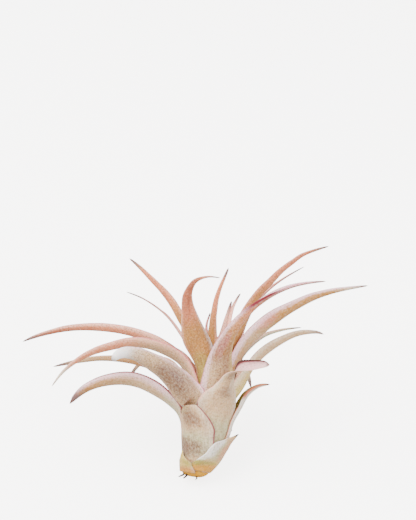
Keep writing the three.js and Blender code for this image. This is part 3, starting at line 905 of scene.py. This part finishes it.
# How far the grains shift the keel's colours, the bands, the patches, the margins, the tip's two coats
# and the frayed edge.
KEEL_SHIFT = dict(clouds=0.2, scales=0.08)
BAND_SHIFT = dict(streaks=0.35, scales=0.25)
PATCH_SHIFT = dict(clouds=1.5, scales=0.9)
MARGIN_SHIFT = dict(streaks=0.03)
TIP_SHIFT = dict(clouds=0.08, scales=0.032)
VERY_TIP_SHIFT = dict(specks=0.04)
FRAY_SHIFT = dict(scales=0.7)

# Between which values of its grain each coat comes in, and how much of the look's strength the finest
# coats use. Blotches are weaker on the streaks, the bloom is weaker on the clouds.
BLOTCHES_SHOW = (0.47, 0.73)
BLOOM_SHOWS = (0.4, 0.65)
LINES_SHOW = (0.52, 0.72)
SPECKS_SHOW = (0.48, 0.65)
CHALK_FADES = (0.3, 0.44)
LINES_USED = 0.6
SPECKS_USED = 0.75
CHALK_USED = 0.16
OFF_STREAKS = 1.3
OFF_CLOUDS = 1.2

# Where the other coats come in: a one-sided coat across the midrib, a patch over its reach, the channel over
# the margin and up the sheath, a margin's line in widths from the edge, the dry tip either side of its
# start, the brown point, and the fray.
SIDE_TURNS = (-0.1, 0.1)
PATCH_FADES = (0.0, 1.3)
INSIDE_STARTS = (0.35, 0.65)
CHANNEL_GROWS = (-0.5, 0.4)
LINE_FROM = 1.6
LINE_FULL = 0.6
TIP_BEFORE = 0.08
TIP_AFTER = 0.06
POINT_BROWNS = (0.94, 1.0)
POINT_USED = 0.8
FRAY_SHOWS = (0.75, 1.1)


class LeafSkin:
    """The skin of one kind of leaf, painted in coats."""

    def __init__(self, name, look):
        self.look = look
        self.paint = Paint(bpy.data.materials.new(name))
        self.across, self.along, self.inside = self.paint.attribute("leaf_grain")
        self.v, self.share, self.frayed = self.paint.attribute("leaf_share")
        self.edge = abs(self.v)
        self.grains = {key: self.grain(*numbers) for key, numbers in GRAINS.items()}
        stops = [((at + 1) / 2, shade(key)) for at, key in look["keel"]]
        along_ramp = self.shifted(self.share + 1, KEEL_SHIFT) * 0.5
        self.body = self.paint.node("ShaderNodeValToRGB", {"stops": stops}, {0: along_ramp})

    def grain(self, across, along, layer, detail, roughness):
        inputs = {"X": self.across * across, "Y": self.along * along, "Z": layer}
        vector = self.paint.node("ShaderNodeCombineXYZ", inputs=inputs)
        return self.paint.noise(vector, 1.0, detail, roughness)

    def shifted(self, value, amounts):
        for name, amount in amounts.items():
            value = value + (self.grains[name] - 0.5) * amount
        return value

    def coat(self, key, mask):
        self.body = self.paint.mix(self.body, shade(key), mask)

    def on_side(self, side, mask):
        """Keeps a mask to one side of the leaf, or to both for side 0."""
        return mask * (self.v * side).ease(*SIDE_TURNS) if side else mask

    def bands(self):
        # A band passes to its colour towards the margins. A one-sided band is partly the leaf's own colour
        # and partly painted light and shade: mostly paler on the side that faces up, and warmer and darker
        # on the side that faces down.
        for key, side, start, end, strength in self.look["bands"]:
            reach = self.shifted(self.edge, BAND_SHIFT).ease(start, end)
            self.coat(key, self.on_side(side, reach) * strength)

    def patches(self):
        # Most patches are the leaf's own spots; two brown ones paint shade.
        for key, at_v, at_share, wide, long, strength in self.look["patches"]:
            off_v = (self.v - at_v) * (1 / wide)
            off_share = (self.share - at_share) * (1 / long)
            spread = self.shifted(off_v * off_v + off_share * off_share, PATCH_SHIFT)
            self.coat(key, (1 - spread.ease(*PATCH_FADES)) * strength)

    def channel(self):
        """The inside of the leaf. Its colour is weaker in the sheath and under the streaks."""
        key, strength = self.look["inside"]
        inside = self.inside.ease(*INSIDE_STARTS) * (self.share.ease(*CHANNEL_GROWS) * 0.5 + 0.5)
        self.coat(key, inside * (OFF_STREAKS - self.grains["streaks"] * 0.6) * strength)

    def blotches(self):
        """Brown clouds between the streaks, and silvery scales between the clouds."""
        clouds = self.grains["clouds"]
        streaks = self.grains["streaks"]
        scales = self.grains["scales"]
        self.coat("brown", clouds.ease(*BLOTCHES_SHOW) * self.look["blotches"] * (OFF_STREAKS - streaks))
        self.coat("silver", scales.ease(*BLOOM_SHOWS) * (OFF_CLOUDS - clouds) * self.look["bloom"])

    def specks(self):
        """Dark lines along the leaf, then brown specks, and chalky ones between them."""
        lines = self.grains["lines"]
        specks = self.grains["specks"]
        self.coat("brown", lines.ease(*LINES_SHOW) * self.look["stripes"] * LINES_USED)
        self.coat("brown", specks.ease(*SPECKS_SHOW) * self.look["specks"] * SPECKS_USED)
        self.coat("chalk", (1 - specks.ease(*CHALK_FADES)) * self.look["specks"] * CHALK_USED)

    def margins(self, soft=0.06):
        for key, strength, side, start, end, width in self.look["margins"]:
            edge = self.shifted(self.edge, MARGIN_SHIFT)
            line = edge.ease(1 - LINE_FROM * width, 1 - LINE_FULL * width)
            line = self.on_side(side, line) * strength * self.share.ease(start - soft, start + soft)
            self.coat(key, line * (1 - self.share.ease(end - soft, end + soft)))

    def ends(self):
        """The dry tip, its brown point, and the frayed edge of a torn leaf."""
        key, start = self.look["tip"]
        dry = self.shifted(self.share, TIP_SHIFT)
        self.coat(key, dry.ease(start - TIP_BEFORE, start + TIP_AFTER))
        self.coat("brown", self.shifted(self.share, VERY_TIP_SHIFT).ease(*POINT_BROWNS) * POINT_USED)
        self.coat("bark", self.shifted(self.frayed, FRAY_SHIFT).ease(*FRAY_SHOWS))

    def material(self):
        scales = self.grains["scales"]
        height = self.grains["lines"] * 0.5 + scales * 0.5
        return self.paint.surface(
            Base_Color=self.body, Roughness=0.55 + scales * 0.25,
            Normal=self.paint.bump(height, strength=0.35, distance=0.15 * MM),
            Specular_IOR_Level=0.3, Sheen_Weight=0.15, Sheen_Roughness=0.5,
            Subsurface_Weight=0.12, Subsurface_Scale=0.6 * MM,
        )


def leaf_material(look_name):
    """Leaf skin: a coloured keel, paler bands, silvery scales, brown specks, thin margins and a dry tip."""
    name = f"leaf_{look_name}"
    if name in bpy.data.materials:
        return bpy.data.materials[name]
    skin = LeafSkin(name, {**PLAIN, **LOOKS[look_name]})
    skin.bands()
    skin.patches()
    skin.channel()
    skin.blotches()
    skin.specks()
    skin.margins()
    skin.ends()
    return skin.material()


def foot_material():
    """The stem's underside: amber, with straw patches and brown fibres."""
    paint = Paint(bpy.data.materials.new("foot_skin"))
    place = paint.node("ShaderNodeTexCoord", output="Object")
    patches = paint.noise(place, scale=260.0, detail=3.0)
    fibres = paint.noise(place, scale=1600.0, detail=4.0, roughness=0.7)
    body = paint.mix(shade("amber"), shade("straw"), patches.ease(0.45, 0.7) * 0.7)
    body = paint.mix(body, shade("brown"), fibres.ease(0.55, 0.75) * 0.6)
    normal = paint.bump(fibres, strength=0.5, distance=0.25 * MM)
    return paint.surface(Base_Color=body, Roughness=0.75, Normal=normal, Specular_IOR_Level=0.25)


def root_material():
    """Dry, dark, fibrous root."""
    paint = Paint(bpy.data.materials.new("root_bark"))
    place = paint.node("ShaderNodeTexCoord", output="Object")
    fibres = paint.noise(place, scale=2600.0, detail=4.0, roughness=0.7)
    body = paint.mix(shade("bark"), shade("brown"), fibres.ease(0.45, 0.75) * 0.6)
    normal = paint.bump(fibres, strength=0.6, distance=0.1 * MM)
    return paint.surface(Base_Color=body, Roughness=0.85, Normal=normal)


# Stem and roots

# The rounded foot's profile as (radius, height) in mm, the layer of the sheath that the stem ends under,
# the height of the stem's point above that, the stem's facets, and how close its corners are welded.
FOOT_PROFILE = ((0, 0), (1.6, 0.05), (3.2, 0.2), (4.3, 0.5), (5.1, 0.9), (5.8, 1.4), (6.2, 1.9))
LAST_LAYER = 30
STEM_POINT = 1.5 * MM
STEM_LEVELS = 24
STEM_SIDES = 72
STEM_WELD = 0.01 * MM

# The foot's scars: their depth as a share of its radius, how many a millimetre, and how flat they are.
SCAR_DEPTH = 0.02
SCARS = 0.7
SCARS_FLAT = 3


def build_stem():
    """A squat cone with a rounded, scarred foot, turned from its profile."""
    sizes = bpy.context.scene.air_plant_sizes
    top = attachment_height(sizes, LAST_LAYER)
    profile = [(radius * MM, height * MM) for radius, height in FOOT_PROFILE]
    for i in range(STEM_LEVELS + 1):
        height = blend(sizes.first_attachment, top, i / STEM_LEVELS)
        layer = (height - sizes.first_attachment) / sizes.attachment_step
        profile.append((sheath_radius(sizes, layer, height) - sizes.stem_clearance, height))
    profile.append((0, top + STEM_POINT))
    mesh = bmesh.new()
    verts = [mesh.verts.new((radius, 0, height)) for radius, height in profile]
    edges = [mesh.edges.new(pair) for pair in zip(verts, verts[1:])]
    bmesh.ops.spin(
        mesh, geom=verts + edges, cent=(0, 0, 0), axis=(0, 0, 1), dvec=(0, 0, 0), angle=2 * math.pi,
        steps=STEM_SIDES, use_merge=True, use_duplicate=False,
    )
    bmesh.ops.remove_doubles(mesh, verts=mesh.verts, dist=STEM_WELD)
    bmesh.ops.recalc_face_normals(mesh, faces=mesh.faces)
    pose = rest_pose(sizes)
    for vert in mesh.verts:
        x, y, z = vert.co
        scar = noise.noise(Vector((x, y, z * SCARS_FLAT)) / MM * SCARS)
        vert.co += Vector((x, y, 0)) * SCAR_DEPTH * scar
        vert.co = pose @ shifted(sizes, vert.co)
    return finished(mesh, "stem_foot", "stem", foot_material())


# Each root stub: its turn, then reach and height of its start and its end in mm, and its radius in mm.
ROOTS = {
    "root_stub_left": (-62, (5.2, 0.7), (7.2, -0.9), 0.55),
    "root_stub_front": (-38, (5, 0.6), (6.2, -1.3), 0.6),
    "root_stub_right": (24, (4.4, 0.3), (5.2, -1.1), 0.5),
}

# The broken end's share of a stub's radius, its facets, how many radii it bends by, and how deep its
# gnarls are, as a share of its radius, and how many a millimetre.
ROOT_TAPER = 0.55
ROOT_SIDES = 14
ROOT_LEVELS = 14
ROOT_BEND = 0.8
GNARL_DEPTH = 0.35
GNARLS = 3


def build_root(name, turn, start, end, radius, material, seed):
    """A tapered, bent stub with a broken end."""
    sizes = bpy.context.scene.air_plant_sizes
    begin, finish = (
        shifted(sizes, on_plant(reach * MM, height * MM, turn)) for reach, height in (start, end)
    )
    way = finish - begin
    turned = way.to_track_quat("Z", "Y").to_matrix().to_4x4()
    mesh = bmesh.new()
    bmesh.ops.create_cone(
        mesh, cap_ends=True, segments=ROOT_SIDES, radius1=radius * MM, radius2=radius * ROOT_TAPER * MM,
        depth=way.length,
    )
    heights = {edge: [vert.co.z for vert in edge.verts] for edge in mesh.edges}
    lengthwise = [edge for edge, (low, high) in heights.items() if abs(low - high) > 0.1 * MM]
    bmesh.ops.subdivide_edges(mesh, edges=lengthwise, cuts=ROOT_LEVELS, use_grid_fill=True)
    pose = rest_pose(sizes)
    for vert in mesh.verts:
        share = vert.co.z / way.length + 0.5
        gnarl = 1 + GNARL_DEPTH * noise.noise(Vector(vert.co) / MM * GNARLS + Vector((0, 0, seed)))
        bend = math.sin(share * math.pi) * radius * ROOT_BEND * MM
        local = Vector((vert.co.x * gnarl + bend, vert.co.y * gnarl, vert.co.z))
        vert.co = pose @ (turned @ local + begin.lerp(finish, 0.5))
    bmesh.ops.recalc_face_normals(mesh, faces=mesh.faces)
    return finished(mesh, f"{name}_dry", name, material)


# Stage

FILM_WIDTH = 36
NEAREST_SEEN = 10 * MM

# The soft lights: where each hangs, the side of its square, both in metres, and its tint.
LIGHTS = {
    "key": ((-0.75, -0.1, 1.1), 1.1, (1.0, 0.985, 0.96)),
    "fill": ((0.9, -0.5, 0.8), 1.2, (0.98, 0.99, 1.0)),
}
SKY_TINT = (1.0, 0.99, 0.98, 1)


def aim(thing, place, target):
    thing.location = place
    thing.rotation_euler = (target - place).to_track_quat("-Z", "Y").to_euler()


def add_camera(stage, sizes):
    """Looks square at the front of the plant, which leans back, so the camera looks down on it."""
    foot = Vector(sizes.foot_place)
    view = Vector((0, math.cos(sizes.lean_back), -math.sin(sizes.lean_back)))
    upward = Vector((0, math.sin(sizes.lean_back), math.cos(sizes.lean_back)))
    target = foot + Vector((stage.aim_right, 0, 0)) + upward * stage.aim_up
    camera = bpy.data.objects.new("camera", bpy.data.cameras.new("camera"))
    camera.data.lens = stage.focal_length
    camera.data.sensor_width = FILM_WIDTH
    camera.data.clip_start = NEAREST_SEEN
    bpy.context.scene.collection.objects.link(camera)
    aim(camera, foot - view * stage.camera_distance, target)
    bpy.context.scene.camera = camera
    return target


def add_light(name, power, target):
    place, side, tint = LIGHTS[name]
    light = bpy.data.objects.new(name, bpy.data.lights.new(name, "AREA"))
    light.data.energy = power
    light.data.size = side
    light.data.color = tint
    bpy.context.scene.collection.objects.link(light)
    aim(light, Vector(place), target)


def add_floor(stage):
    """A pale floor that shines evenly, and lights nothing."""
    mesh = bmesh.new()
    bmesh.ops.create_grid(mesh, x_segments=1, y_segments=1, size=stage.floor_size)
    data = bpy.data.meshes.new("floor")
    mesh.to_mesh(data)
    mesh.free()
    floor = bpy.data.objects.new("floor", data)
    bpy.context.scene.collection.objects.link(floor)
    floor.visible_diffuse = False
    floor.visible_glossy = False
    shown = (*stage.floor_colour, 1)
    data.materials.append(Paint(bpy.data.materials.new("pale_floor")).surface(
        Base_Color=shown, Roughness=0.9, Specular_IOR_Level=0.1,
        Emission_Color=shown, Emission_Strength=stage.floor_glow,
    ))


def add_sky(stage):
    """Soft light from all round, weaker from below, where a floor would return less of it."""
    world = bpy.data.worlds.new("soft_sky")
    paint = Paint(world)
    way = paint.node("ShaderNodeTexCoord", output="Generated")
    upward = paint.node("ShaderNodeSeparateXYZ", inputs={"Vector": way}).of("Z")
    reach = stage.sky_strength - stage.ground_strength
    strength = upward.ease(-0.6, 0.6) * reach + stage.ground_strength
    sky = paint.node("ShaderNodeBackground", inputs={"Color": SKY_TINT, "Strength": strength})
    paint.node("ShaderNodeOutputWorld", inputs={"Surface": sky})
    bpy.context.scene.world = world


# Operators

class BuildStem(bpy.types.Operator):
    """Builds the short stem with its amber foot"""

    bl_idname = "air_plant.stem"
    bl_label = "Stem"

    def execute(self, context):
        build_stem()
        return {"FINISHED"}


class BuildRoots(bpy.types.Operator):
    """Builds the dry root stubs under the foot"""

    bl_idname = "air_plant.roots"
    bl_label = "Root stubs"

    def execute(self, context):
        material = root_material()
        for seed, (name, (turn, start, end, radius)) in enumerate(ROOTS.items()):
            build_root(name, turn, start, end, radius, material, seed)
        return {"FINISHED"}


def build_leaves(leaves, first_seed, seed_step=1.7):
    for i, (name, shape) in enumerate(leaves.items()):
        build_leaf(name, shape, first_seed + i * seed_step)
    return {"FINISHED"}


class BuildOldSheaths(bpy.types.Operator):
    """Builds the old sheaths at the foot: the pale flap, the clasping foot leaves and the torn leaf"""

    bl_idname = "air_plant.old_sheaths"
    bl_label = "Old sheaths"

    def execute(self, context):
        return build_leaves(OLD_SHEATHS, 10)


class BuildLowerLeaves(bpy.types.Operator):
    """Builds the silvery leaves that arch out of the lower bulb"""

    bl_idname = "air_plant.lower_leaves"
    bl_label = "Lower leaves"

    def execute(self, context):
        return build_leaves(LOWER_LEAVES, 30)


class BuildUpperLeaves(bpy.types.Operator):
    """Builds the long upper leaves, silvery at the sides and salmon in the middle"""

    bl_idname = "air_plant.upper_leaves"
    bl_label = "Upper leaves"

    def execute(self, context):
        return build_leaves(UPPER_LEAVES, 60)


class BuildInnerLeaves(bpy.types.Operator):
    """Builds the slender upright leaves in the heart of the plant"""

    bl_idname = "air_plant.inner_leaves"
    bl_label = "Inner leaves"

    def execute(self, context):
        return build_leaves(INNER_LEAVES, 90)


class BuildStage(bpy.types.Operator):
    """Sets the floor, the soft lights and the camera"""

    bl_idname = "air_plant.stage"
    bl_label = "Stage"

    def execute(self, context):
        stage = context.scene.air_plant_stage
        target = add_camera(stage, context.scene.air_plant_sizes)
        add_light("key", stage.key_power, target)
        add_light("fill", stage.fill_power, target)
        add_floor(stage)
        add_sky(stage)
        return {"FINISHED"}


class AirPlantPanel(bpy.types.Panel):
    """Lists the plant's pieces in the order that they are built"""

    bl_idname = "VIEW3D_PT_air_plant"
    bl_label = "Air Plant"
    bl_space_type = "VIEW_3D"
    bl_region_type = "UI"
    bl_category = "Air Plant"

    def draw(self, context):
        for operator in OPERATORS:
            self.layout.operator(operator.bl_idname)
        for group in GROUPS:
            settings = getattr(context.scene, group)
            for key in GROUPS[group].__annotations__:
                self.layout.prop(settings, key)


OPERATORS = (
    BuildStem, BuildRoots, BuildOldSheaths, BuildLowerLeaves, BuildUpperLeaves, BuildInnerLeaves,
    BuildStage,
)
GROUPS = {
    "air_plant_sizes": PlantSizes,
    "air_plant_colours": LeafColours,
    "air_plant_stage": StageSettings,
}


def register():
    for group in GROUPS.values():
        bpy.utils.register_class(group)
    for operator in OPERATORS:
        bpy.utils.register_class(operator)
    bpy.utils.register_class(AirPlantPanel)
    for name, group in GROUPS.items():
        setattr(bpy.types.Scene, name, PointerProperty(type=group))


def unregister():
    for name in GROUPS:
        delattr(bpy.types.Scene, name)
    bpy.utils.unregister_class(AirPlantPanel)
    for operator in reversed(OPERATORS):
        bpy.utils.unregister_class(operator)
    for group in reversed(tuple(GROUPS.values())):
        bpy.utils.unregister_class(group)


def main():
    register()
    for operator in OPERATORS:
        family, action = operator.bl_idname.split(".")
        getattr(getattr(bpy.ops, family), action)()


if __name__ == "__main__":
    main()
